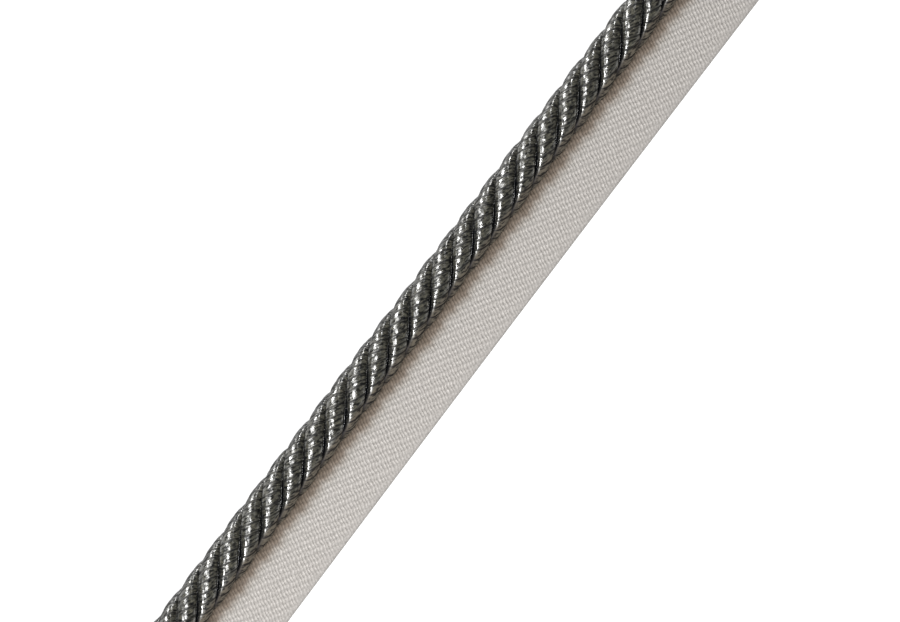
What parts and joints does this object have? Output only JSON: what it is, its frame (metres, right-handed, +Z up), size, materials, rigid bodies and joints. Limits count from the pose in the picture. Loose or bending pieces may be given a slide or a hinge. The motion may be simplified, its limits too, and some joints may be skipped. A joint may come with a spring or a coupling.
{
  "type": "flanged cord trimming",
  "caption": "Straight cut length of thick dark twisted cord with a flat pale twill tape along one side, to be sewn into a seam.",
  "frame": {"origin": "centre of the footprint, on the surface that the trimming rests on", "axes": "+X along the cord, +Y across from the tape towards the cord, +Z up from the resting surface"},
  "size_m": [0.2, 0.0226, 0.0089],
  "materials": {
    "cord_yarn": "lustrous hard-twisted rayon yarn, dark olive grey with bright glints",
    "tape_cloth": "matt fine twill, warm light grey"
  },
  "bodies": {
    "root": {"cord": "cord_yarn", "tape": "tape_cloth"}
  },
  "joints": []
}
